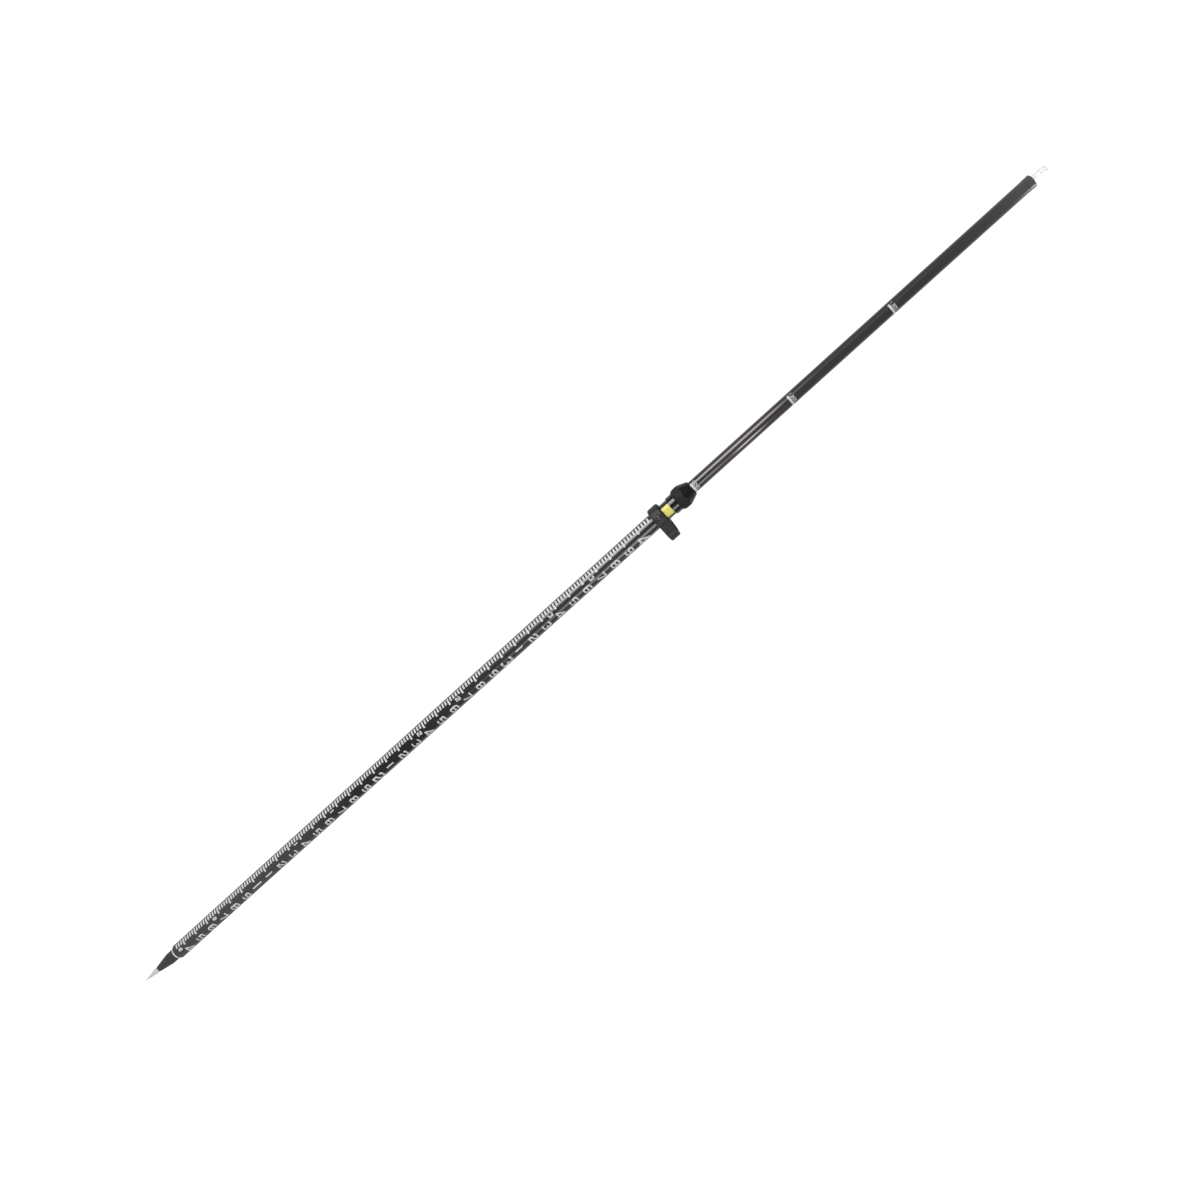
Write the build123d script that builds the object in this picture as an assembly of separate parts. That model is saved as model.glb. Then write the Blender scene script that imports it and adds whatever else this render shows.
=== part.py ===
from build123d import *
from math import radians, tan
import os

# Survey rover pole, upright and fully extended, in millimetres.
# Origin: the end of the steel ground point. +Z runs up the pole's axis, +X towards the level vial,
# and -Y is the side that carries the scale and the label.

# Overall
set_height = 2000.0            # ground point to the seat under the antenna spigot, fully extended

# Ground point
tip_length = 39.2              # bare steel below the point body
tip_cone_length = 30.0
tip_end_diameter = 0.8
tip_base_diameter = 10.6
tip_thread_diameter = 6.0
tip_thread_length = 20.0
point_length = 48.0
point_nose_diameter = 11.2
point_cone_length = 30.0
point_shoulder_radius = 40.0   # blends the cone into the straight part
point_base_inset = 0.3         # from the neck's radius

# Foot insert, bonded into the lower tube
neck_inset = 3.0               # from the lower tube's radius
neck_height = 4.8
foot_stud_diameter = 15.88
foot_stud_length = 13.0
foot_plug_length = 40.0
foot_plug_bore = 9.0

# Lower tube
lower_tube_diameter = 28.0
lower_tube_wall = 1.5
lower_tube_length = 1210.0
seat_relief = 0.2              # radius ground off under the bracket, the label and the ferrule

# Level bracket
bracket_height = 20.4
bracket_wall = 6.6
bracket_edge_radius = 3.4
label_stretch = 15.2           # bare tube between the bracket and the ferrule
arm_inset = 0.2                # arm's top and bottom stand back this far from the collar's
arm_edge_radius = 1.8
deck_slope = 5.5               # degrees, outwards and down
arm_floor = 3.5
pocket_web = 1.9               # wall between the tube's bore and the vial pocket
boss_wall = 2.85

# Circular level vial and its tilting cup
vial_diameter = 19.6
vial_height = 8.0
vial_wall = 1.0
vial_crown = 1.2               # glass over the middle of the dome
vial_dome_radius = 60.0
vial_base_thickness = 1.2
bubble_radius = 5.5
bubble_depth = 0.9
cup_wall = 1.8
cup_base = 2.5
cup_lip_below_vial = 2.5       # glass left standing above the cup
tilt_gap = 0.5                 # room for the cup to tilt in its pocket
cushion_thickness = 2.0
cushion_diameter = 10.0        # middle of the ring
bezel_ledge = 0.8
bezel_thickness = 1.6
bezel_overlap = 0.8            # over the rim of the glass
adjust_screw_count = 3
adjust_screw_circle = 17.0
adjust_screw_diameter = 2.5
adjust_head_diameter = 4.5
adjust_head_height = 1.6
adjust_key_size = 1.5

# Screw that locks the bracket to the tube
lock_screw_diameter = 4.0
lock_head_diameter = 7.0
lock_head_height = 2.6
lock_head_edge_radius = 0.85
lock_head_sink = 2.0
lock_recess_width = 1.0
lock_recess_length = 4.2
lock_recess_depth = 1.3
lock_pad_thickness = 1.6

# Label
label_width = 18.0
label_thickness = 0.12
label_height = 13.8
label_margin = 0.3             # bare tube below it
label_offset = 1.2             # towards the level

# Twist clamp
ferrule_wall = 1.95
ferrule_collar_height = 11.8   # bare collar below the nut
ferrule_on_tube = 16.0         # how far the ferrule reaches down the tube
clamp_thread_step = 0.8        # thread's crest inside the bare collar
clamp_mouth_wall = 1.65        # left outside the collet's seat
clamp_thread_length = 14.4
bush_wall = 2.15               # between the two tubes
bush_flange = 2.0
bush_length = 110.0
bush_land = 20.0
bush_relief = 0.5
collet_height = 12.0
collet_land = 1.6              # straight stretch at the collet's widest
collet_taper = 15.0            # degrees, nose
collet_seat_angle = 30.0       # degrees, seat
collet_seat_height = 4.0
collet_slit = 1.0
collet_slit_stop = 3.0         # left whole at a slit's blind end
collet_slits = 6
nut_height = 31.4
nut_core_wall = 1.3
nut_nose_wall = 1.7            # round the wiper's lip
nut_nose_lip = 1.8
nut_shoulder_band = 0.4        # straight rim under the nose cone
grip_height = 14.9
grip_base_wall = 0.55
grip_wall = 2.8
grip_flare_height = 6.6
grip_flare_bulge = 0.4
flute_count = 28
flute_radius = 1.1
flute_depth = 0.5
wiper_height = 3.3
wiper_section = 1.6
wiper_lip_thickness = 0.6
wiper_lip_rise = 0.6           # above the nut

# Upper tube, its foot and its top
upper_tube_wall = 1.5
foot_skirt_length = 41.5
foot_spigot_length = 30.0
foot_vent = 8.0
guide_ring_height = 12.0
guide_ring_thickness = 1.2
guide_ring_slit = 2.0
guide_ring_above_end = 6.0
top_flange_height = 12.0
top_flange_overhang = 0.3      # past the upper tube's radius
top_plug_length = 30.0
top_edge_bevel = 0.6
spigot_diameter = 12.0
spigot_length = 24.0
spigot_groove_height = 3.0
spigot_groove_depth = 1.0
spigot_groove_above_seat = 11.0
spigot_bevel = 1.2
spigot_stud_diameter = 8.0
spigot_stud_length = 18.0

# Fits
bond_gap = 0.05                # glue line or thread between fixed round faces
run_gap = 0.05                 # radial, round faces that slide or turn on each other
free_gap = 0.3                 # round faces on different bodies that don't bear
lip_gap = 0.1                  # wiper to tube
end_gap = 0.1                  # each end of the guide ring in its groove
stop_gap = 0.5                 # foot shoulder to bush, fully extended
thread_end_gap = 1.0           # free depth past the end of a screw or stud
nut_gap = 0.3                  # nut to ferrule shoulder
overrun = 1.0                  # cutters run past the faces that they open

# Radii worked out from the fits
tube_radius = lower_tube_diameter / 2
seat_radius = tube_radius - seat_relief
bore_radius = tube_radius - lower_tube_wall
upper_radius = bore_radius - bond_gap - bush_wall - run_gap
upper_bore_radius = upper_radius - upper_tube_wall
slide_radius = upper_radius + run_gap
neck_radius = tube_radius - neck_inset
point_base_radius = neck_radius - point_base_inset
collar_bore_radius = seat_radius + bond_gap
collar_radius = collar_bore_radius + bracket_wall
vial_radius = vial_diameter / 2
cup_radius = vial_radius + bond_gap + cup_wall
pocket_radius = cup_radius + tilt_gap
boss_radius = pocket_radius + boss_wall
level_reach = collar_bore_radius + pocket_web + pocket_radius
ferrule_radius = collar_bore_radius + ferrule_wall
thread_radius = ferrule_radius - clamp_thread_step
nut_bore_radius = thread_radius + run_gap
nut_core_radius = nut_bore_radius + nut_core_wall
grip_core_radius = nut_core_radius + bond_gap
grip_base_radius = grip_core_radius + grip_base_wall
grip_radius = grip_core_radius + grip_wall
collet_radius = thread_radius - clamp_mouth_wall - bond_gap
lip_radius = upper_radius + lip_gap + wiper_lip_thickness
nut_mouth_radius = lip_radius + bond_gap
nut_nose_radius = nut_mouth_radius + nut_nose_wall
flange_radius = upper_radius + top_flange_overhang
foot_radius = bore_radius - free_gap
ring_outer_radius = bore_radius - run_gap
ring_inner_radius = ring_outer_radius - guide_ring_thickness
groove_radius = ring_inner_radius - run_gap

# Heights, from the ground up
point_z = tip_length
neck_z = point_z + point_length
tube_z = neck_z + neck_height
tube_top_z = tube_z + lower_tube_length
ferrule_z = tube_top_z - ferrule_on_tube
bracket_top_z = ferrule_z - label_stretch
bracket_z = bracket_top_z - bracket_height
bracket_middle_z = bracket_z + bracket_height / 2
shoulder_z = ferrule_z + ferrule_collar_height
nut_z = shoulder_z + nut_gap
nut_top_z = nut_z + nut_height
thread_top_z = shoulder_z + clamp_thread_length
bush_top_z = tube_top_z + bush_flange
bush_z = tube_top_z - bush_length
foot_shoulder_z = bush_z - stop_gap
foot_z = foot_shoulder_z - foot_skirt_length
flange_z = set_height - top_flange_height

# Heights inside the level
arm_z = bracket_z + arm_inset
arm_top_z = bracket_top_z - arm_inset
pocket_z = arm_z + arm_floor
cup_z = pocket_z + cushion_thickness
vial_z = cup_z + cup_base
vial_top_z = vial_z + vial_height
bezel_z = vial_top_z + bond_gap

# Heights inside the clamp
collet_widest_z = thread_top_z
collet_z = collet_widest_z - collet_seat_height
collet_nose_z = collet_widest_z + collet_land
collet_top_z = collet_z + collet_height
collet_nose_radius = collet_radius - (collet_top_z - collet_nose_z) * tan(radians(collet_taper))
collet_seat_radius = collet_radius - collet_seat_height * tan(radians(collet_seat_angle))
grip_top_z = nut_z + grip_height
wiper_top_z = nut_top_z - nut_nose_lip
wiper_z = wiper_top_z - wiper_height
wiper_radius = upper_radius + lip_gap + wiper_section

ON_BASE = (Align.CENTER, Align.CENTER, Align.MIN)


def turned(*outline):
    """Solid turned about the pole's axis from a closed outline of (radius, height) points."""
    points = [(radius, 0, height) for radius, height in outline]
    return revolve(make_face(Polyline(*points, close=True)), Axis.Z)


def rod(radius, low, high):
    """Plain round bar on the pole's axis."""
    return Pos(0, 0, low) * Cylinder(radius, high - low, align=ON_BASE)


def tube(outer, inner, low, high):
    """Plain round tube on the pole's axis. The bore's cutter runs past both ends."""
    return rod(outer, low, high) - rod(inner, low - overrun, high + overrun)


def slit(width, reach, low, high):
    """Cutter for an axial slit that runs from the pole's axis outwards along +X."""
    return Pos(reach / 2, 0, low) * Box(reach, width, high - low, align=ON_BASE)


# Ground point

def steel_tip():
    """Hardened point with a threaded shank that screws up into the point body."""
    base = tip_base_diameter / 2
    point = turned((0, 0), (tip_end_diameter / 2, 0), (base, tip_cone_length), (base, point_z), (0, point_z))
    return point + rod(tip_thread_diameter / 2, point_z, point_z + tip_thread_length)


def point_body():
    """Coned nose with a socket for the steel tip below and for the foot insert's stud above."""
    nose, base = point_nose_diameter / 2, point_base_radius
    cone_top_z = point_z + point_cone_length
    body = turned((0, point_z), (nose, point_z), (base, cone_top_z), (base, neck_z), (0, neck_z))
    shoulder = body.edges().filter_by(GeomType.CIRCLE).sort_by(Axis.Z)[1]
    body = fillet(shoulder, point_shoulder_radius)
    tip_socket_top = point_z + tip_thread_length + thread_end_gap
    tip_socket = rod(tip_thread_diameter / 2 + bond_gap, point_z, tip_socket_top)
    stud_socket = rod(foot_stud_diameter / 2 + bond_gap, neck_z - foot_stud_length - thread_end_gap, neck_z)
    return body - tip_socket - stud_socket


def foot_insert():
    """Bright neck between the point and the tube, with a stud below and a hollow plug above."""
    stud = rod(foot_stud_diameter / 2, neck_z - foot_stud_length, neck_z)
    neck = rod(neck_radius, neck_z, tube_z)
    plug = rod(bore_radius - bond_gap, tube_z, tube_z + foot_plug_length)
    bore = rod(foot_plug_bore / 2, tube_z, tube_z + foot_plug_length)
    return stud + neck + (plug - bore)


def lower_tube():
    """Outer tube, ground down a little where the bracket and the ferrule sit."""
    ground = tube(tube_radius + overrun, seat_radius, bracket_z, tube_top_z)
    return tube(tube_radius, bore_radius, tube_z, tube_top_z) - ground


# Level

def arm():
    """Round-ended arm under the vial, with its deck sloping down away from the pole."""
    plan = Pos(level_reach / 2, 0) * Rectangle(level_reach, 2 * boss_radius)
    plan += Pos(level_reach, 0) * Circle(boss_radius)
    block = Pos(0, 0, arm_z) * extrude(plan, arm_top_z - arm_z)
    end = level_reach + boss_radius + overrun
    fall = (end - seat_radius) * tan(radians(deck_slope))
    deck = [(seat_radius, 0, arm_top_z), (end, 0, arm_top_z - fall)]
    wedge = make_face(Polyline(*deck, (end, 0, bracket_top_z), (seat_radius, 0, bracket_top_z), close=True))
    block -= extrude(wedge, 2 * boss_radius, dir=(0, 1, 0), both=True)
    round_end = block.edges().filter_by(lambda edge: edge.center().X > level_reach)
    rim = round_end - round_end.filter_by(Axis.Z)
    return fillet(rim, arm_edge_radius)


def adjust_places():
    """Where the adjusting screws stand round the vial's axis."""
    return PolarLocations(adjust_screw_circle / 2, adjust_screw_count)


def level_bracket():
    """Moulded collar and arm, with a stepped pocket for the vial and the holes for its screws."""
    collar = rod(collar_radius, bracket_z, bracket_top_z)
    collar = fillet(collar.edges().filter_by(GeomType.CIRCLE), bracket_edge_radius)
    bracket = collar + arm()
    bracket -= rod(collar_bore_radius, bracket_z - overrun, bracket_top_z + overrun)
    at_level = Pos(level_reach, 0)
    bracket -= at_level * rod(pocket_radius, pocket_z, bracket_top_z)
    bracket -= at_level * rod(pocket_radius + bezel_ledge, bezel_z, bracket_top_z)
    for place in adjust_places():
        hole = at_level * place
        bracket -= hole * rod(adjust_screw_diameter / 2 + free_gap, arm_z, pocket_z)
        bracket -= hole * rod(adjust_head_diameter / 2 + free_gap, arm_z, arm_z + adjust_head_height)
    return bracket - lock_screw_hole()


def facing_front(solid):
    """Turns a piece made along +Z so that it runs out to -Y at the bracket's middle."""
    return Pos(0, 0, bracket_middle_z) * Rot(90, 0, 0) * solid


def lock_screw_hole():
    """Threaded hole through the front of the collar, with a flat-bottomed seat for the head."""
    head_seat = collar_radius - lock_head_sink
    hole = rod(lock_screw_diameter / 2 + bond_gap, 0, collar_radius)
    seat = rod(lock_head_diameter / 2 + free_gap, head_seat, collar_radius + overrun)
    return facing_front(hole + seat)


def bracket_lock_screw():
    """Cross-recessed screw that presses the pad against the tube."""
    head_seat = collar_radius - lock_head_sink
    head_top = head_seat + lock_head_height
    shank = rod(lock_screw_diameter / 2, collar_bore_radius + lock_pad_thickness, head_seat)
    head = rod(lock_head_diameter / 2, head_seat, head_top)
    head = fillet(head.edges().sort_by(Axis.Z)[-1], lock_head_edge_radius)
    bar = Box(lock_recess_length, lock_recess_width, 2 * lock_recess_depth)
    cross = Pos(0, 0, head_top) * (bar + Rot(0, 0, 90) * bar)
    return facing_front(shank + head - cross)


def lock_screw_pad():
    """Soft pad at the screw's end, hollowed to the tube."""
    pad = rod(lock_screw_diameter / 2, 0, collar_bore_radius + lock_pad_thickness)
    return facing_front(pad) - rod(seat_radius + bond_gap, bracket_z, bracket_top_z)


def vial_cushion():
    """Rubber ring that the cup is drawn down on."""
    ring = Torus(cushion_diameter / 2, cushion_thickness / 2)
    return Pos(level_reach, 0, pocket_z + cushion_thickness / 2) * ring


def vial_cup():
    """Tray that holds the glass and takes the adjusting screws in its base."""
    rim_z = vial_top_z - cup_lip_below_vial
    cup = rod(cup_radius, cup_z, rim_z) - rod(vial_radius + bond_gap, vial_z, rim_z)
    for place in adjust_places():
        cup -= place * rod(adjust_screw_diameter / 2 + bond_gap, cup_z, vial_z)
    return Pos(level_reach, 0) * cup


def under_dome(radius, gap):
    """Bar on the vial's axis with a domed top that stays a gap below the glass's inner face."""
    crown_z = vial_top_z - vial_crown - gap
    dome = Pos(0, 0, crown_z - vial_dome_radius) * Sphere(vial_dome_radius)
    return rod(radius, vial_z, vial_top_z) & dome


def vial_glass():
    """Glass cap with a shallow dome inside, which the bubble rides under."""
    cap = rod(vial_radius, vial_z, vial_top_z) - under_dome(vial_radius - vial_wall, 0)
    return Pos(level_reach, 0) * cap


def vial_base():
    """Disc that closes the glass from below."""
    return Pos(level_reach, 0) * rod(vial_radius - vial_wall - bond_gap, vial_z, vial_z + vial_base_thickness)


def vial_liquid():
    """Filling of the vial, dented at its top by the bubble."""
    floor_z = vial_z + vial_base_thickness
    filling = under_dome(vial_radius - vial_wall - bond_gap, bond_gap) - rod(vial_radius, vial_z, floor_z)
    bubble_z = vial_top_z - vial_crown - bond_gap - bubble_depth + bubble_radius
    return Pos(level_reach, 0) * (filling - Pos(0, 0, bubble_z) * Sphere(bubble_radius))


def vial_bezel():
    """Ring snapped into the pocket's mouth over the rim of the glass."""
    outer = pocket_radius + bezel_ledge - bond_gap
    ring = tube(outer, vial_radius - bezel_overlap, bezel_z, bezel_z + bezel_thickness)
    return Pos(level_reach, 0) * ring


def vial_adjust_screws():
    """Three socket screws up through the arm's floor into the cup."""
    shank = rod(adjust_screw_diameter / 2, arm_z, vial_z)
    head = rod(adjust_head_diameter / 2, arm_z, arm_z + adjust_head_height)
    socket = Pos(0, 0, arm_z) * extrude(RegularPolygon(adjust_key_size / 2, 6), adjust_head_height)
    screw = shank + head - socket
    return Compound([Pos(level_reach, 0) * place * screw for place in adjust_places()])


# Label and twist clamp

def set_label():
    """Printed film on the tube between the bracket and the ferrule."""
    low = bracket_top_z + label_margin
    film = tube(seat_radius + label_thickness, seat_radius, low, low + label_height)
    front = Pos(label_offset, -seat_radius, low) * Box(label_width, seat_radius, label_height, align=ON_BASE)
    return film & front


def clamp_ferrule():
    """Collar bonded over the tube's top, threaded for the nut and coned inside for the collet."""
    outer = ferrule_radius
    inner = collar_bore_radius
    throat = collet_seat_radius + bond_gap
    mouth = collet_radius + bond_gap
    return turned(
        (inner, ferrule_z), (outer, ferrule_z), (outer, shoulder_z), (thread_radius, shoulder_z),
        (thread_radius, thread_top_z), (mouth, thread_top_z), (throat, collet_z), (throat, bush_top_z),
        (inner, bush_top_z),
    )


def guide_bush():
    """Long bearing sleeve in the tube's top, flanged over its end and relieved between two lands."""
    outer = bore_radius - bond_gap
    sleeve = tube(outer, slide_radius, bush_z, tube_top_z)
    relief = rod(slide_radius + bush_relief, bush_z + bush_land, tube_top_z - bush_land)
    flange = tube(seat_radius, slide_radius, tube_top_z, bush_top_z)
    return sleeve - relief + flange


def clamp_collet():
    """Slit double-tapered ring that the nut squeezes onto the upper tube."""
    ring = turned(
        (slide_radius, collet_z), (collet_seat_radius, collet_z), (collet_radius, collet_widest_z),
        (collet_radius, collet_nose_z), (collet_nose_radius, collet_top_z), (slide_radius, collet_top_z),
    )
    for number in range(collet_slits):
        from_top = number % 2 == 0
        low = collet_z + collet_slit_stop if from_top else collet_z - overrun
        high = collet_top_z + overrun if from_top else collet_top_z - collet_slit_stop
        ring -= Rot(0, 0, 360 / collet_slits * number) * slit(collet_slit, collet_radius + overrun, low, high)
    return ring


def clamp_nut():
    """Twist nut: threaded skirt, inner cone over the collet, and a coned nose with a seal groove."""
    cone_radius = collet_radius + free_gap
    cone_top = collet_nose_radius + free_gap
    throat = upper_radius + free_gap
    groove = wiper_radius + bond_gap
    return turned(
        (nut_bore_radius, nut_z), (nut_core_radius, nut_z), (nut_core_radius, grip_top_z),
        (grip_radius, grip_top_z), (grip_radius, grip_top_z + nut_shoulder_band),
        (nut_nose_radius, nut_top_z), (nut_mouth_radius, nut_top_z), (nut_mouth_radius, wiper_top_z),
        (groove, wiper_top_z), (groove, wiper_z), (throat, wiper_z),
        (throat, collet_top_z + free_gap), (cone_top, collet_top_z + free_gap), (cone_top, collet_top_z),
        (cone_radius, collet_nose_z), (nut_bore_radius, collet_widest_z),
    )


def nut_grip():
    """Rubber sleeve on the nut's skirt, flared upwards and fluted for the hand."""
    base = (grip_base_radius, 0, nut_z)
    flare_top = (grip_radius, 0, nut_z + grip_flare_height)
    middle = ((base[0] + flare_top[0]) / 2 + grip_flare_bulge, 0, nut_z + grip_flare_height / 2)
    flare = ThreePointArc(base, middle, flare_top)
    core = [(grip_core_radius, 0, grip_top_z), (grip_core_radius, 0, nut_z)]
    rest = Polyline(flare_top, (grip_radius, 0, grip_top_z), *core, base)
    grip = revolve(make_face([flare, rest]), Axis.Z)
    flute = rod(flute_radius, nut_z - overrun, grip_top_z + overrun)
    away = grip_radius + flute_radius - flute_depth
    return grip - [place * flute for place in PolarLocations(away, flute_count)]


def wiper_ring():
    """Rubber seal in the nut's nose, with a lip that stands round the upper tube."""
    inner = upper_radius + lip_gap
    lip_top = nut_top_z + wiper_lip_rise
    return turned(
        (inner, wiper_z), (wiper_radius, wiper_z), (wiper_radius, wiper_top_z), (lip_radius, wiper_top_z),
        (lip_radius, lip_top), (inner, lip_top),
    )


# Upper tube

def guide_ring():
    """Split wear ring that runs in the lower tube, in a groove where the foot plug turns freely."""
    low = foot_z + guide_ring_above_end + end_gap
    high = low + guide_ring_height
    split = slit(guide_ring_slit, ring_outer_radius + overrun, low - overrun, high + overrun)
    return tube(ring_outer_radius, ring_inner_radius, low, high) - split


def foot_plug():
    """Plug in the upper tube's foot: its shoulder stops the tube at the guide bush."""
    spigot = rod(upper_bore_radius - bond_gap, foot_shoulder_z, foot_shoulder_z + foot_spigot_length)
    skirt = rod(foot_radius, foot_z, foot_shoulder_z)
    groove_z = foot_z + guide_ring_above_end
    groove = tube(foot_radius + overrun, groove_radius, groove_z, groove_z + guide_ring_height + 2 * end_gap)
    vent = rod(foot_vent / 2, foot_z - overrun, foot_shoulder_z + foot_spigot_length + overrun)
    return spigot + skirt - groove - vent


def upper_tube():
    """Inner tube, from the foot plug's shoulder to the flange under the antenna."""
    return tube(upper_radius, upper_bore_radius, foot_shoulder_z, flange_z)


def top_insert():
    """Flanged plug in the upper tube's top, tapped for the spigot."""
    flange = rod(flange_radius, flange_z, set_height)
    flange = chamfer(flange.edges().sort_by(Axis.Z)[-1], top_edge_bevel)
    plug = rod(upper_bore_radius - bond_gap, flange_z - top_plug_length, flange_z)
    tapping_z = set_height - spigot_stud_length - thread_end_gap
    tapping = rod(spigot_stud_diameter / 2 + bond_gap, tapping_z, set_height)
    return flange + plug - tapping


def antenna_spigot():
    """Grooved steel spigot that the antenna's quick-release adapter slides onto."""
    pin = rod(spigot_diameter / 2, set_height, set_height + spigot_length)
    pin = chamfer(pin.edges().sort_by(Axis.Z)[-1], spigot_bevel)
    groove_z = set_height + spigot_groove_above_seat
    waist = spigot_diameter / 2 - spigot_groove_depth
    groove = tube(spigot_diameter / 2 + overrun, waist, groove_z, groove_z + spigot_groove_height)
    stud = rod(spigot_stud_diameter / 2, set_height - spigot_stud_length, set_height)
    return pin - groove + stud


NODES = [
    steel_tip, point_body, foot_insert, lower_tube,
    level_bracket, bracket_lock_screw, lock_screw_pad,
    vial_cushion, vial_cup, vial_base, vial_glass, vial_liquid, vial_bezel, vial_adjust_screws,
    set_label, clamp_ferrule, guide_bush, clamp_collet,
    clamp_nut, nut_grip, wiper_ring,
    guide_ring, foot_plug, upper_tube, top_insert, antenna_spigot,
]

os.makedirs("parts", exist_ok=True)
for node in NODES:
    export_step(node(), f"parts/{node.__name__}.step")

print(f"slide travel: {flange_z - nut_top_z - wiper_lip_rise:.1f} mm to the wiper's lip")
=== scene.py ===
import math

import bpy
import mathutils
import numpy as np
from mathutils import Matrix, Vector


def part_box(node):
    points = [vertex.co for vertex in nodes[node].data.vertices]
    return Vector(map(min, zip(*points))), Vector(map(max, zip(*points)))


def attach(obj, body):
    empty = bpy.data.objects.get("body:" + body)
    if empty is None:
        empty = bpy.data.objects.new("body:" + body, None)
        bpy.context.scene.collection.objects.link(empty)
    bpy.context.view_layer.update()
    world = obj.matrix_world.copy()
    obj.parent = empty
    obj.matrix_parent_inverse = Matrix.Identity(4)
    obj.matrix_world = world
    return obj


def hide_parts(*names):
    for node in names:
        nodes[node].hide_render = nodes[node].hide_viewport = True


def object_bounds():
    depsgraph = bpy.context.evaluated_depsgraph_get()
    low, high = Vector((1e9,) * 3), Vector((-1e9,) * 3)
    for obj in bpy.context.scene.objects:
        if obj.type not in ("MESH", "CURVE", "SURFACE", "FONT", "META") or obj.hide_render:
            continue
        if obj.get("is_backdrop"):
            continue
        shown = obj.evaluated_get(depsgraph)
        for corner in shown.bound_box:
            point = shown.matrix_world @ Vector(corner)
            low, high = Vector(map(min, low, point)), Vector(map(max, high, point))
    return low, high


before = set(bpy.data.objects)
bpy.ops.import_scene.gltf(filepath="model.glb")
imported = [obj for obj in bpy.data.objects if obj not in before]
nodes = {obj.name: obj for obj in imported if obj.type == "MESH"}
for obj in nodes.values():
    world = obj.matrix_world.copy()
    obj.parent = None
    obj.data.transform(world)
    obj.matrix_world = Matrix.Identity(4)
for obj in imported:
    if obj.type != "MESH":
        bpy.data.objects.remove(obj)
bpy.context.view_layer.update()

scene = bpy.context.scene

# Steel ground point: a hardened steel taper that stands on the survey mark. It is turned and ground, and
# screws up into the point body with a plain shank, so the fine rings of the grinding run round it.

MILLIMETRE = 0.001
SAME_POINT = 1e-6


def heights(node):
    """Lowest and highest z of a CAD node at rest, in millimetres."""
    low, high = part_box(node)
    return round(low.z / MILLIMETRE, 2), round(high.z / MILLIMETRE, 2)


def rounded(*corners, steps=6):
    """Outline through (radius, height, edge) corners in millimetres. Each corner P becomes the parabola
    (1-t)^2 A + 2t(1-t) P + t^2 B, where A and B lie on its two sides, edge * tan(turn / 2) away."""
    corners = np.array(corners, float)
    point = corners[:, :2]
    before = point - np.roll(point, 1, axis=0)
    after = np.roll(point, -1, axis=0) - point
    before /= np.linalg.norm(before, axis=1, keepdims=True)
    after /= np.linalg.norm(after, axis=1, keepdims=True)
    turn = np.arccos(np.clip((before * after).sum(axis=1), -1, 1))
    reach = (corners[:, 2] * np.tan(turn / 2))[:, None]
    t = np.linspace(0, 1, steps)[None, :, None]
    start, middle, end = (point - before * reach)[:, None], point[:, None], (point + after * reach)[:, None]
    outline = ((1 - t) ** 2 * start + 2 * t * (1 - t) * middle + t**2 * end).reshape(-1, 2)
    step = np.linalg.norm(outline - np.roll(outline, 1, axis=0), axis=1)
    return outline[step > SAME_POINT]


def sheet_faces(rows, columns, loop_rows=False, loop_columns=False):
    """Quads of a grid of rows and columns, closed on itself where a loop is asked for."""
    i = np.arange(rows if loop_rows else rows - 1)[:, None]
    j = np.arange(columns if loop_columns else columns - 1)[None, :]
    up, along = (i + 1) % rows * columns, (j + 1) % columns
    quads = [i * columns + j, i * columns + along, up + along, up + j]
    return np.stack(quads, axis=-1).reshape(-1, 4)


def new_piece(name, points, faces, normals, body, finish):
    """Mesh object at the origin from points in millimetres, riding on a body with one finish."""
    mesh = bpy.data.meshes.new(name)
    mesh.from_pydata((points.reshape(-1, 3) * MILLIMETRE).tolist(), [], faces)
    mesh.shade_smooth()
    mesh.normals_split_custom_set_from_vertices(normals.reshape(-1, 3).tolist())
    mesh.materials.append(finish)
    piece = bpy.data.objects.new(name, mesh)
    scene.collection.objects.link(piece)
    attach(piece, body)
    return piece


def turned(name, outline, body, finish, centre=(0, 0), turns=144):
    """Outline (r, z) turned about a vertical axis: point(t, a) = centre + (r cos a, r sin a, z). An outline
    that starts on the axis has a pole at each end; any other is a ring that closes on itself."""
    ring = outline[0, 0] > SAME_POINT
    if ring:
        slope = np.roll(outline, -1, axis=0) - np.roll(outline, 1, axis=0)
    else:
        slope = np.gradient(outline, axis=0)
    normal = np.stack([slope[:, 1], -slope[:, 0]], axis=1)
    normal /= np.linalg.norm(normal, axis=1, keepdims=True)
    angle = np.arange(turns) * 2 * np.pi / turns
    outwards = np.stack([np.cos(angle), np.sin(angle)], axis=1)

    def spun(curve):
        flat = curve[:, None, :1] * outwards[None]
        return np.concatenate([flat, np.repeat(curve[:, None, 1:], turns, axis=1)], axis=2)

    points = spun(outline) + np.array([*centre, 0.0])
    directions = spun(normal)
    if ring:
        faces = sheet_faces(len(outline), turns, True, True).tolist()
        return new_piece(name, points, faces, directions, body, finish)
    poles = 2
    rows = len(outline) - poles
    walls = sheet_faces(rows, turns, False, True) + poles
    first = np.arange(turns) + poles
    last = first + (rows - 1) * turns
    low_fan = np.stack([np.zeros(turns, int), np.roll(first, -1), first], axis=1)
    high_fan = np.stack([np.ones(turns, int), last, np.roll(last, -1)], axis=1)
    points = np.concatenate([points[[0, -1], 0], points[1:-1].reshape(-1, 3)])
    directions = np.concatenate([directions[[0, -1], 0], directions[1:-1].reshape(-1, 3)])
    faces = walls.tolist() + low_fan.tolist() + high_fan.tolist()
    return new_piece(name, points, faces, directions, body, finish)


def feed(tree, socket, value):
    """Gives an input a value, or links another node's output to it."""
    if isinstance(value, bpy.types.NodeSocket):
        tree.links.new(value, socket)
    else:
        socket.default_value = value


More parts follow.
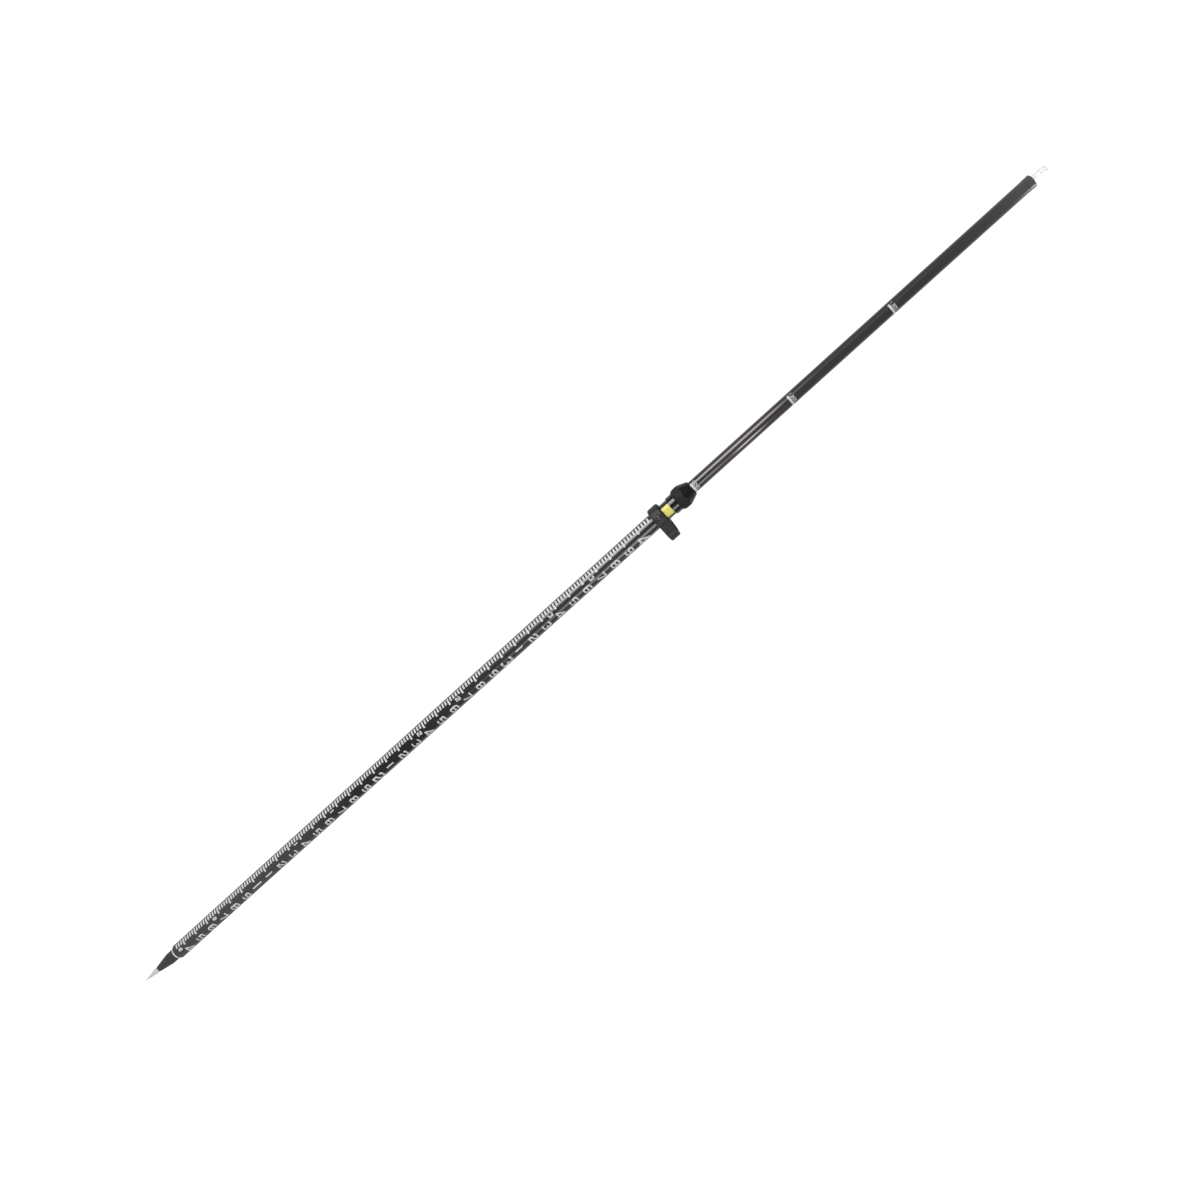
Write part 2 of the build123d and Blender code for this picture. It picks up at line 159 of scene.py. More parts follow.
def fill(tree, inputs, **values):
    """Feeds inputs by their names, each written with a low line for a space."""
    for name, value in values.items():
        feed(tree, inputs[name.replace("_", " ")], value)


def put(tree, kind, settings=None, **values):
    """Node with its settings and its named inputs, each a value or another node's output."""
    made = tree.nodes.new(kind)
    for name, value in (settings or {}).items():
        setattr(made, name, value)
    fill(tree, made.inputs, **values)
    return made


def spread(tree, value, low, high, to_low=0.0, to_high=1.0):
    """A value from low to high brought to the range to_low to to_high, and held at its ends."""
    ends = dict(From_Min=low, From_Max=high, To_Min=to_low, To_Max=to_high)
    return put(tree, "ShaderNodeMapRange", Value=value, **ends).outputs["Result"]


def product(tree, first, second):
    """First times second, each a value or another node's output."""
    made = put(tree, "ShaderNodeMath", {"operation": "MULTIPLY"})
    feed(tree, made.inputs[0], first)
    feed(tree, made.inputs[1], second)
    return made.outputs["Value"]


def blended(tree, factor, first, second):
    """Colour that goes from first to second as the factor goes from 0 to 1. The sockets of a Mix node share
    names, so they are numbered here: its colours go in at 6 and 7 and come out at 2."""
    mix = put(tree, "ShaderNodeMix", {"data_type": "RGBA"})
    for number, value in ((0, factor), (6, first), (7, second)):
        feed(tree, mix.inputs[number], value)
    return mix.outputs[2]


def own_space(tree):
    """Place in the piece's own space, in metres."""
    return tree.nodes.new("ShaderNodeTexCoord").outputs["Object"]


def noise(tree, scale, detail=3.0):
    """Noise in the piece's own space, with its scale in cells per metre."""
    made = put(tree, "ShaderNodeTexNoise", Vector=own_space(tree), Scale=scale, Detail=detail)
    return made.outputs["Fac"]


def new_group(name, inputs, outputs):
    """Shader node group with named sockets. An input is a colour where its default has four parts, an output
    where it is called Color, and all others are floats."""
    group = bpy.data.node_groups.new(name, "ShaderNodeTree")
    for label, default in inputs.items():
        kind = "NodeSocketColor" if isinstance(default, tuple) else "NodeSocketFloat"
        group.interface.new_socket(label, in_out="INPUT", socket_type=kind).default_value = default
    for label in outputs:
        kind = "NodeSocketColor" if label == "Color" else "NodeSocketFloat"
        group.interface.new_socket(label, in_out="OUTPUT", socket_type=kind)
    return group, group.nodes.new("NodeGroupInput").outputs, group.nodes.new("NodeGroupOutput").inputs


def group_in(tree, group, **values):
    """One of the shared groups placed in a material with its own values."""
    return put(tree, "ShaderNodeGroup", {"node_tree": group}, **values).outputs


def new_finish(name):
    """Material with its node tree and the inputs of its Principled shader."""
    finish = bpy.data.materials.new(name)
    finish.use_nodes = True
    return finish, finish.node_tree, finish.node_tree.nodes["Principled BSDF"].inputs


def bumped(tree, height, strength, depth):
    """Normal of a surface whose height goes from 0 to 1 over a depth in millimetres."""
    made = put(tree, "ShaderNodeBump", Height=height, Strength=strength, Distance=depth * MILLIMETRE)
    return made.outputs["Normal"]


# Rings of the cutting tool, packed along the axis, and a slow change in how well they are polished.
lathe_marks, given, out = new_group(
    "lathe_marks", {"Rings per metre": 2500.0, "Smooth": 0.2, "Rough": 0.35}, ["Height", "Roughness"])
along = put(lathe_marks, "ShaderNodeSeparateXYZ", Vector=own_space(lathe_marks)).outputs["Z"]
rings = product(lathe_marks, along, given["Rings per metre"])
cut = put(lathe_marks, "ShaderNodeTexNoise", {"noise_dimensions": "1D"}, W=rings, Scale=1.0)
polish = spread(lathe_marks, noise(lathe_marks, 160.0, 4.0), 0.3, 0.7, given["Smooth"], given["Rough"])
fill(lathe_marks, out, Height=cut.outputs["Fac"], Roughness=polish)

ground_steel, tree, shader = new_finish("ground_steel")
marks = group_in(tree, lathe_marks, Rings_per_metre=5200.0, Smooth=0.38, Rough=0.52)
soil = spread(tree, noise(tree, 700.0, 5.0), 0.5, 0.75)
fill(tree, shader, Metallic=1.0, Roughness=marks["Roughness"],
     Base_Color=blended(tree, soil, (0.86, 0.85, 0.83, 1), (0.79, 0.775, 0.755, 1)),
     Normal=bumped(tree, marks["Height"], 0.5, 0.02))

tip_low, shank_high = heights("steel_tip")
point_low, point_high = heights("point_body")
taper_high = tip_low + 30.0
tip_end, tip_radius, shank_radius = 0.4, 5.3, 3.0
ground_point = turned(
    "ground_point",
    rounded((0, tip_low, 0), (tip_end, tip_low, 0.3), (tip_radius, taper_high, 3.0),
            (tip_radius, point_low, 0.25), (shank_radius, point_low, 0.2), (shank_radius, shank_high, 0.4),
            (0, shank_high, 0)),
    "lower_pole", ground_steel)
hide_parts("steel_tip")

# Point body: the dark cone above the steel, turned from aluminium and hard anodised almost black, with a
# socket at each end: the steel point screws in from below and the foot insert's stud from above.


def grey(level):
    """Neutral colour."""
    return (level, level, level, 1)


# Fine scratches along the pole from cases and clamps: noise drawn out along Z, kept only at its peaks.
handling, given, out = new_group("handling", {"Amount": 0.5}, ["Mask"])
scratch_scale = (900.0, 900.0, 22.0)
drawn = put(handling, "ShaderNodeMapping", Vector=own_space(handling), Scale=scratch_scale).outputs["Vector"]
scratches = put(handling, "ShaderNodeTexNoise", Vector=drawn, Scale=1.0, Detail=2.0).outputs["Fac"]
where = noise(handling, 24.0, 2.0)
peaks = product(handling, spread(handling, scratches, 0.66, 0.74), spread(handling, where, 0.45, 0.65))
fill(handling, out, Mask=product(handling, peaks, given["Amount"]))

dark_anodised, tree, shader = new_finish("dark_anodised")
marks = group_in(tree, lathe_marks, Rings_per_metre=2600.0, Smooth=0.36, Rough=0.5)
worn = group_in(tree, handling, Amount=0.6)["Mask"]
fill(tree, shader, Roughness=marks["Roughness"],
     Base_Color=blended(tree, worn, (0.029, 0.029, 0.0285, 1), grey(0.12)),
     Normal=bumped(tree, marks["Height"], 0.35, 0.03))

play, free_end = 0.05, 1.0
stud_low, plug_high = heights("foot_insert")
cone_high = point_low + 30.0
nose_radius, point_radius, stud_radius = 5.6, 10.7, 7.94
shank_socket, shank_roof = shank_radius + play, shank_high + free_end
stud_socket, stud_floor = stud_radius + play, stud_low - free_end
point_cone = turned(
    "point_cone",
    rounded((0, shank_roof, 0), (shank_socket, shank_roof, 0.2), (shank_socket, point_low, 0.2),
            (nose_radius, point_low, 0.35), (point_radius, cone_high, 40.0), (point_radius, point_high, 0.3),
            (stud_socket, point_high, 0.2), (stud_socket, stud_floor, 0.3), (0, stud_floor, 0)),
    "lower_pole", dark_anodised)
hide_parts("point_body")

# Foot insert: bright turned aluminium. Its neck shows as a light ring between point and tube, its stud
# holds the point, and its hollow plug is bonded into the tube.

bright_alloy, tree, shader = new_finish("bright_alloy")
marks = group_in(tree, lathe_marks, Rings_per_metre=3400.0, Smooth=0.2, Rough=0.34)
stain = spread(tree, noise(tree, 420.0, 4.0), 0.45, 0.75)
fill(tree, shader, Metallic=1.0, Roughness=marks["Roughness"],
     Base_Color=blended(tree, stain, (0.9, 0.9, 0.91, 1), (0.83, 0.83, 0.84, 1)),
     Normal=bumped(tree, marks["Height"], 0.4, 0.02))

tube_low, tube_high = heights("lower_tube")
neck_radius, plug_radius, hollow_radius = 11.0, 12.45, 4.5
neck = turned(
    "foot_neck",
    rounded((0, stud_low, 0), (stud_radius, stud_low, 0.6), (stud_radius, point_high, 0.2),
            (neck_radius, point_high, 0.35), (neck_radius, tube_low, 0.35), (plug_radius, tube_low, 0.1),
            (plug_radius, plug_high, 0.5), (hollow_radius, plug_high, 0.4), (hollow_radius, tube_low, 0.4),
            (0, tube_low, 0)),
    "lower_pole", bright_alloy)
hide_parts("foot_insert")

# Lower tube: the outer stage, a straight tube in gloss black lacquer, ground a little thinner at the top
# where the bracket, the label and the clamp sit.

gloss_black, tree, shader = new_finish("gloss_black")
worn = group_in(tree, handling, Amount=0.7)["Mask"]
fill(tree, shader, IOR=1.75, Roughness=spread(tree, noise(tree, 30.0, 4.0), 0.3, 0.7, 0.07, 0.11),
     Base_Color=blended(tree, worn, (0.0157, 0.0153, 0.0172, 1), grey(0.07)),
     Normal=bumped(tree, noise(tree, 330.0, 2.0), 0.018, 0.05))

seat_low = heights("level_bracket")[0]
tube_radius, seat_radius, tube_bore = 14.0, 13.8, 12.5
outer_stage = turned(
    "outer_stage",
    rounded((tube_radius, tube_low, 1.2), (tube_radius, seat_low, 0.15), (seat_radius, seat_low, 0.05),
            (seat_radius, tube_high, 0.3), (tube_bore, tube_high, 0.3), (tube_bore, tube_low, 0.3)),
    "lower_pole", gloss_black, turns=192)
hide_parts("lower_tube")

# Printed scale: white ink on the lower tube in feet from the ground. A bar stands every 0.02 ft, longer at
# the tenths, with squared figures at the tenths and feet and a small foot numeral twice in each foot.

white_ink, tree, shader = new_finish("white_ink")
blot = noise(tree, 900.0, 4.0)
rub = group_in(tree, handling, Amount=0.8)["Mask"]
fresh = blended(tree, spread(tree, blot, 0.35, 0.7), (0.775, 0.785, 0.78, 1), (0.675, 0.685, 0.68, 1))
fill(tree, shader, Base_Color=blended(tree, rub, fresh, grey(0.3)),
     Roughness=spread(tree, blot, 0.3, 0.7, 0.42, 0.58))

FOOT = 304.8
INK = 0.03


def wrapped(x, z, lift, radius):
    """Flat artwork laid round a tube: x runs round the wall as the angle x / radius from the front, which
    faces -Y, z runs up, and lift stands off the wall. Returns points and outward normals."""
    turn = x / radius
    outwards = np.stack([np.sin(turn), -np.cos(turn), np.zeros_like(turn)], axis=-1)
    points = outwards * (radius + lift)[..., None]
    points[..., 2] = z
    return points, outwards


def printed(name, x, z, lift, radius, body, finish):
    """Patches of ink, each a grid x[patch, row, column], z the same, laid on a tube as one piece."""
    patches, rows, columns = x.shape
    points, outwards = wrapped(x, z, np.broadcast_to(lift, x.shape), radius)
    quads = sheet_faces(rows, columns)[None] + (np.arange(patches) * rows * columns)[:, None, None]
    return new_piece(name, points, quads.reshape(-1, 4).tolist(), outwards, body, finish)


def bars(low_angle, high_angle, low, high, radius, columns):
    """One grid of two rows for each bar: x(t) = radius * (low_angle (1-t) + high_angle t), with the angles in
    degrees from the front, and z at low on the first row and at high on the second."""
    low_angle, high_angle, low, high = np.broadcast_arrays(low_angle, high_angle, low, high)
    t = np.linspace(0, 1, columns)[None, None, :]
    turn = np.radians(low_angle[:, None, None] * (1 - t) + high_angle[:, None, None] * t)
    row = np.array([0.0, 1.0])[None, :, None]
    height = low[:, None, None] * (1 - row) + high[:, None, None] * row
    return np.broadcast_arrays(turn * radius, height)


bar_height = 3.4
bar_start, short_end, long_end = -60.0, -22.0, -6.0
first_bar, last_bar, bars_per_tenth = 17, 204, 5
fiftieths = np.arange(first_bar, last_bar + 1)
middle = fiftieths * 0.02 * FOOT
bar_end = np.where(fiftieths % bars_per_tenth == 0, long_end, short_end)
x, z = bars(bar_start, bar_end, middle - bar_height / 2, middle + bar_height / 2, tube_radius, 17)
scale_bars = printed("scale_bars", x, z, INK, tube_radius, "lower_pole", white_ink)

FIGURE_WIDTH = 0.74
STROKE = 0.17
SQUARE = 0.53
STROKE_ROWS, STROKE_COLUMNS = 33, 7
INK_LAYERS, INK_STEP = 5, 0.002


def line(x0, y0, x1, y1):
    """Straight stroke of a figure, in a box FIGURE_WIDTH wide and 1 high: start (1-t) + end t."""
    t = np.linspace(0, 1, STROKE_ROWS)[:, None]
    return np.array([x0, y0]) * (1 - t) + np.array([x1, y1]) * t


def bow(x, y, wide, high, start, end):
    """Curved stroke of a figure on a squared oval: (x + wide c, y + high s), where c and s are the cosine and
    sine of an angle from start to end in degrees, each raised to the power SQUARE with its sign kept."""
    a = np.radians(np.linspace(start, end, STROKE_ROWS))
    c, s = (np.sign(wave) * np.abs(wave) ** SQUARE for wave in (np.cos(a), np.sin(a)))
    return np.stack([x + wide * c, y + high * s], axis=1)


half = STROKE / 2
centre = FIGURE_WIDTH / 2
loop = centre - half
tall = 0.5 - half
low_middle, high_middle = 0.5 - tall / 2, 0.5 + tall / 2
six = [bow(centre, low_middle, loop, tall / 2, 0, 360), bow(centre, 0.5, loop, tall, 35, 195)]
FIGURES = {
    "0": [bow(centre, 0.5, loop, tall, 0, 360)],
    "1": [line(0.16, 0.03, 0.16, 0.97)],
    "2": [bow(centre, high_middle, loop, tall / 2, 180, -45), line(0.6, 0.54, 0.13, 0.38),
          line(half, 0.44, half, 0.02), line(0, half, FIGURE_WIDTH, half)],
    "3": [bow(0.35, high_middle, 0.26, tall / 2, 165, -90), bow(0.35, low_middle, 0.28, tall / 2, 90, -165)],
    "4": [line(0.6, 0, 0.6, 1), line(0, 0.2, FIGURE_WIDTH, 0.2), line(0.57, 0.94, 0.08, 0.24)],
    "5": [line(0.06, 1 - half, 0.7, 1 - half), line(half, 0.92, half, 0.45),
          bow(centre, 0.31, loop, 0.31 - half, 150, -160)],
    "6": six,
    "7": [line(0.02, 1 - half, 0.72, 1 - half), line(0.64, 0.9, 0.27, 0)],
    "8": [bow(centre, high_middle, 0.26, tall / 2, 0, 360), bow(centre, low_middle, loop, tall / 2, 0, 360)],
    "9": [np.array([FIGURE_WIDTH, 1.0]) - stroke for stroke in six],
    ".": [line(0.28, half, 0.46, half)],
}


def figures(places):
    """Strokes of many figures as ink patches: stroke(t, s) = path(t) + across(t) * s, s over its width.
    Each place is (figure, x and z of its middle, height, width, stroke), the stroke in figure heights. The
    strokes lie on layers a hair apart, so that those that cross don't share a surface."""
    path = np.array([stroke for place in places for stroke in FIGURES[place[0]]])
    strokes = [len(FIGURES[place[0]]) for place in places]
    placing = np.repeat(np.array([place[1:] for place in places]), strokes, axis=0)
    x, z, high, wide, stroke = placing.T[:, :, None, None]
    along = np.gradient(path, axis=1, edge_order=2)
    along /= np.linalg.norm(along, axis=2, keepdims=True)
    across = np.stack([-along[..., 1], along[..., 0]], axis=-1)[:, :, None]
    width = np.linspace(0.5, -0.5, STROKE_COLUMNS)[None, None, :, None] * stroke[..., None]
    flat = path[:, :, None] + across * width
    flat_x = x + (flat[..., 0] / FIGURE_WIDTH - 0.5) * wide
    flat_z = z + (flat[..., 1] - 0.5) * high
    layer = np.arange(len(path)) % INK_LAYERS * INK_STEP
    return flat_x, flat_z, INK + np.broadcast_to(layer[:, None, None], flat_x.shape)


figure_left = 4.0
tenth_size, foot_size = (16.6, 11.8), (23.0, 13.2)
places = []
for tenth in range(4, 41):
    foot, rest = divmod(tenth, 10)
    high, wide = tenth_size if rest else foot_size
    places.append((str(rest or foot), figure_left + wide / 2, tenth * 0.1 * FOOT, high, wide, STROKE))
scale_figures = printed("scale_figures", *figures(places), tube_radius, "lower_pole", white_ink)

numeral, small_nought = (9.0, 6.4, 0.23), (7.2, 4.4, 0.34)
parts_of_foot = (0.355, 0.655)
places = []
for foot in range(4):
    size = numeral if foot else small_nought
    places += [(str(foot), 0.0, (foot + part) * FOOT, *size) for part in parts_of_foot]
foot_numerals = printed("foot_numerals", *figures(places), tube_radius, "lower_pole", white_ink)

# Level bracket: one black moulding, a collar round the tube and an arm for the level. A cross-recessed
# screw at the front presses a nylon pad on the tube to hold it.

# Skin of a moulding: a fine spark-eroded grain, with slow changes of tone and of gloss.
moulded, given, out = new_group(
    "moulded", {"Grain": 2600.0, "Dark": grey(0.02), "Light": grey(0.04), "Smooth": 0.45, "Rough": 0.6},
    ["Color", "Height", "Roughness"])
grain = put(moulded, "ShaderNodeTexNoise", Vector=own_space(moulded), Scale=given["Grain"], Detail=3.0,
            Roughness=0.6)
tone = spread(moulded, noise(moulded, 110.0, 5.0), 0.3, 0.7)
fill(moulded, out, Color=blended(moulded, tone, given["Dark"], given["Light"]), Height=grain.outputs["Fac"],
     Roughness=spread(moulded, tone, 0.0, 1.0, given["Smooth"], given["Rough"]))


def moulding(name, depth, shine=0.5, **values):
    """Plastic or rubber finish from the moulded skin, with its grain cut to a depth in millimetres."""
    finish, tree, shader = new_finish(name)
    skin = group_in(tree, moulded, **values)
    fill(tree, shader, Base_Color=skin["Color"], Roughness=skin["Roughness"], Specular_IOR_Level=shine,
         Normal=bumped(tree, skin["Height"], 0.6, depth))
    return finish


def dress(node, finish):
    """Gives a CAD node that stays as it is its finish."""
    nodes[node].material_slots[0].material = finish


bracket_skin = moulding(
    "bracket_skin", 0.05, Grain=2200.0, Dark=grey(0.012), Light=grey(0.018), Smooth=0.42, Rough=0.56)
dress("level_bracket", bracket_skin)
dress("lock_screw_pad", moulding("nylon_pad", 0.02, Dark=grey(0.55), Light=grey(0.68)))

# The screws' steel is brushed, and its base colour is darkened below that of bare steel as painted shade.
screw_steel, tree, shader = new_finish("screw_steel")
brushed = noise(tree, 1500.0, 4.0)
fill(tree, shader, Metallic=1.0, Roughness=spread(tree, brushed, 0.3, 0.7, 0.2, 0.34),
     Base_Color=blended(tree, spread(tree, brushed, 0.35, 0.7), grey(0.2), grey(0.14)),
     Normal=bumped(tree, brushed, 0.25, 0.02))
dress("bracket_lock_screw", screw_steel)
dress("vial_adjust_screws", screw_steel)

# Circular level: a glass vial of green spirit with its bubble, closed by a white disc and bonded in an alloy
# cup. The cup rides on a rubber ring, three screws tilt it, and a black bezel snaps in over it.

soft_rubber = moulding("soft_rubber", 0.02, Dark=grey(0.012), Light=grey(0.02), Smooth=0.6, Rough=0.75)
dress("vial_cushion", soft_rubber)

level_axis = (27.9, 0.0)
cup_low, cup_high = heights("vial_cup")
glass_low, glass_high = heights("vial_glass")
cup_radius, cup_bore = 11.65, 9.85
cup = turned(
    "level_cup",
    rounded((0, cup_low, 0), (cup_radius, cup_low, 0.4), (cup_radius, cup_high, 0.3),
            (cup_bore, cup_high, 0.3), (cup_bore, glass_low, 0.2), (0, glass_low, 0)),
    "lower_pole", dark_anodised, level_axis)
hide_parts("vial_cup")

dress("vial_base", moulding("white_disc", 0.01, Dark=grey(0.72), Light=grey(0.8), Smooth=0.3, Rough=0.4))

# A glow stands in for the light that scatters in the spirit: pale inside the bubble, dark round its edge.
spirit, tree, shader = new_finish("spirit")
swirl = blended(tree, noise(tree, 240.0, 2.0), (0.7, 0.93, 0.2, 1), (0.78, 0.95, 0.28, 1))
to_axis = dict(Location=(-level_axis[0] * MILLIMETRE, -level_axis[1] * MILLIMETRE, 0), Scale=(1, 1, 0))
centred = put(tree, "ShaderNodeMapping", Vector=own_space(tree), **to_axis).outputs["Vector"]
from_axis = put(tree, "ShaderNodeVectorMath", {"operation": "LENGTH"}, Vector=centred).outputs["Value"]
out_of_bubble = spread(tree, from_axis, 0.0023, 0.0028)
bubble_edge = product(tree, out_of_bubble, spread(tree, from_axis, 0.0034, 0.0029))
inside = blended(tree, out_of_bubble, (0.86, 1.0, 0.5, 1), swirl)
fill(tree, shader, Base_Color=swirl, Roughness=0.02, IOR=1.36, Transmission_Weight=1.0,
     Emission_Color=blended(tree, bubble_edge, inside, (0.3, 0.42, 0.06, 1)), Emission_Strength=0.2)
dress("vial_liquid", spirit)

clear_glass, tree, shader = new_finish("clear_glass")
fill(tree, shader, Base_Color=(0.97, 0.98, 0.97, 1), IOR=1.48, Transmission_Weight=1.0,
     Roughness=spread(tree, noise(tree, 300.0, 5.0), 0.45, 0.75, 0.01, 0.06))
dress("vial_glass", clear_glass)

black_ink, tree, shader = new_finish("black_ink")
blot = noise(tree, 1800.0)
fill(tree, shader, Base_Color=blended(tree, blot, grey(0.01), grey(0.03)),
     Roughness=spread(tree, blot, 0.3, 0.7, 0.3, 0.45))
target_low = glass_high + 0.003
target_high = target_low + 0.015
target_inner, target_outer, target_edge = 4.3, 5.0, 0.003
target = turned(
    "level_target",
    rounded((target_inner, target_low, target_edge), (target_outer, target_low, target_edge),
            (target_outer, target_high, target_edge), (target_inner, target_high, target_edge)),
    "lower_pole", black_ink, level_axis)

bezel_skin = moulding(
    "bezel_skin", 0.02, Grain=3000.0, Dark=grey(0.014), Light=grey(0.024), Smooth=0.26, Rough=0.4)
bezel_low, bezel_high = heights("vial_bezel")
bezel_window, bezel_radius = 9.0, 12.9
bezel = turned(
    "level_bezel",
    rounded((bezel_window, bezel_low, 0.2), (bezel_radius, bezel_low, 0.15),
            (bezel_radius, bezel_high, 0.4), (bezel_window, bezel_high, 0.7)),
    "lower_pole", bezel_skin, level_axis)
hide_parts("vial_bezel")

# Label: a yellow film stuck on the tube between bracket and clamp, a little to the level's side of the front,
# with round corners. It is glossy and has faded unevenly.

label_film, tree, shader = new_finish("label_film")
fibre = noise(tree, 1300.0, 4.0)
fade = spread(tree, noise(tree, 120.0), 0.3, 0.7)
sun = blended(tree, fade, (0.9, 0.82, 0.13, 1), (0.84, 0.77, 0.17, 1))
fill(tree, shader, Roughness=spread(tree, fibre, 0.3, 0.7, 0.2, 0.32),
     Base_Color=blended(tree, spread(tree, fibre, 0.55, 0.8), sun, (0.7, 0.64, 0.11, 1)),
     Normal=bumped(tree, fibre, 0.15, 0.02))

# Each row runs straight from the left edge to the right, x(t) = left (1-t) + right t, and is shorter near the
# ends of the label, where the edges follow the circle of its corners.
film_thickness, corner = 0.12, 1.0
corner_rows, middle_rows, label_columns = 7, 7, 25
label_low, label_high = heights("set_label")
label_left, label_right = (math.radians(a) * seat_radius for a in (-34.1, 47.1))
ease = corner * (1 - np.cos(np.linspace(0, np.pi / 2, corner_rows)))
between = np.linspace(label_low, label_high, middle_rows + 2)[1:-1]
row_z = np.concatenate([label_low + ease, between, (label_high - ease)[::-1]])
from_end = np.clip(corner - np.minimum(row_z - label_low, label_high - row_z), 0, None)
inset = (corner - np.sqrt(corner**2 - from_end**2))[:, None]
t = np.linspace(0, 1, label_columns)[None]
face_x = (label_left + inset) * (1 - t) + (label_right - inset) * t
face_lift = np.where((from_end < corner)[:, None], film_thickness, 0.0) * np.ones_like(face_x)
# The film is a flat loop: over its face from left to right, then back along the wall, pinched at both ends.
film_x = np.concatenate([face_x, face_x[:, ::-1]], axis=1)
film_lift = np.concatenate([face_lift, np.zeros_like(face_lift)], axis=1)
film_z = np.broadcast_to(row_z[:, None], film_x.shape)
points, outwards = wrapped(film_x, film_z, film_lift, seat_radius)
outwards[:, label_columns:] *= -1
label = new_piece("yellow_label", points, sheet_faces(*film_x.shape, False, True).tolist(), outwards,
                  "lower_pole", label_film)
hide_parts("set_label")

# Clamp ferrule: a gloss black alloy collar bonded over the tube's top. Its thread carries the nut, and the
# guide bush and the slit collet stand inside it.

gloss_alloy, tree, shader = new_finish("gloss_alloy")
marks = group_in(tree, lathe_marks, Rings_per_metre=1800.0, Smooth=0.03, Rough=0.06)
worn = group_in(tree, handling, Amount=0.5)["Mask"]
fill(tree, shader, IOR=1.7, Roughness=marks["Roughness"],
     Base_Color=blended(tree, worn, grey(0.004), grey(0.06)),
     Normal=bumped(tree, marks["Height"], 0.08, 0.02))

ferrule_low, ferrule_high = heights("clamp_ferrule")
collet_low, collet_high = heights("clamp_collet")
bush_high = heights("guide_bush")[1]
shoulder = ferrule_low + 11.8
ferrule_radius, thread_radius, mouth_radius, throat_radius = 15.8, 15.0, 13.35, 11.04
ferrule_bore = seat_radius + play
ferrule = turned(
    "clamp_collar",
    rounded((ferrule_bore, ferrule_low, 0.3), (ferrule_radius, ferrule_low, 0.45),
            (ferrule_radius, shoulder, 0.4), (thread_radius, shoulder, 0.15),
            (thread_radius, ferrule_high, 0.5), (mouth_radius, ferrule_high, 0.2),
            (throat_radius, collet_low, 0.2), (throat_radius, bush_high, 0.1),
            (ferrule_bore, bush_high, 0.1)),
    "lower_pole", gloss_alloy)
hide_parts("clamp_ferrule")
bush_plastic = moulding("bush_plastic", 0.02, Dark=grey(0.45), Light=grey(0.56), Smooth=0.35, Rough=0.5)
dress("guide_bush", bush_plastic)
collet_plastic = moulding("collet_plastic", 0.02, Dark=grey(0.1), Light=grey(0.14), Smooth=0.35, Rough=0.5)
dress("clamp_collet", collet_plastic)

# Twist nut: a hard black moulding with a coned nose, a dark grey rubber sleeve with 28 flutes bonded on its
# skirt, and a rubber wiper in its mouth that keeps grit off the upper tube.

nose_skin = moulding(
    "nose_skin", 0.03, Grain=2400.0, Dark=grey(0.006), Light=grey(0.009), Smooth=0.27, Rough=0.36)
nut_low, nut_high = heights("clamp_nut")
grip_low, grip_high = heights("nut_grip")
wiper_low, wiper_high = heights("wiper_ring")
skirt_radius, grip_radius, mouth_rim = 16.35, 19.2, 12.7
rim_low, lip_seat = grip_high + 0.4, wiper_low + 3.3
lip_hole, wiper_groove, guide_bore = 11.0, 12.0, 10.55
squeeze_low, squeeze_high, guide_low = ferrule_high + 1.6, collet_high, collet_high + 0.3
squeeze_wide, squeeze_narrow = 13.6, 11.88
nut_thread = thread_radius + play
nut_nose = turned(
    "nut_nose",
    rounded((nut_thread, nut_low, 0.3), (skirt_radius, nut_low, 0.3), (skirt_radius, grip_high, 0.05),
            (grip_radius, grip_high, 0.1), (grip_radius, rim_low, 0.6), (mouth_rim, nut_high, 0.7),
            (lip_hole, nut_high, 0.25), (lip_hole, lip_seat, 0.1), (wiper_groove, lip_seat, 0.1),
            (wiper_groove, wiper_low, 0.1), (guide_bore, wiper_low, 0.1), (guide_bore, guide_low, 0.05),
            (squeeze_narrow, guide_low, 0.05), (squeeze_narrow, squeeze_high, 0.05),
            (squeeze_wide, squeeze_low, 0.2), (nut_thread, ferrule_high, 0.2)),
    "twist_nut", nose_skin)
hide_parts("clamp_nut")


def arc_through(first, middle, last, count):
    """Points on the circle through three (r, z) points: centre from the two perpendicular bisectors."""
    first, middle, last = (np.array(p, float) for p in (first, middle, last))
    sides = np.stack([middle - first, last - middle])
    centre = np.linalg.solve(sides, (sides * np.stack([first + middle, middle + last]) / 2).sum(axis=1))
    sweep = np.unwrap([math.atan2(*(p - centre)[::-1]) for p in (first, last)])
    turn = np.linspace(*sweep, count)
    radius = np.linalg.norm(first - centre)
    return centre + radius * np.stack([np.cos(turn), np.sin(turn)], axis=1)


def fluted(name, outline, angle, groove, ease, body, finish):
    """Outline turned about Z and cut by flutes: r(t, a) = min(r(t), groove(a)), with the corner eased over a
    length as r - ease * log(1 + exp((r - groove) / ease))."""
    radius = outline[:, 0, None]
    radius = radius - ease * np.logaddexp(0, (radius - groove) / ease)
    points = np.stack([radius * np.cos(angle), radius * np.sin(angle),
                       np.broadcast_to(outline[:, 1, None], radius.shape)], axis=-1)
    along = np.roll(points, -1, axis=0) - np.roll(points, 1, axis=0)
    round_it = np.roll(points, -1, axis=1) - np.roll(points, 1, axis=1)
    normals = np.cross(round_it, along)
    normals /= np.linalg.norm(normals, axis=-1, keepdims=True)
    return new_piece(name, points, sheet_faces(*radius.shape, True, True).tolist(), normals, body, finish)


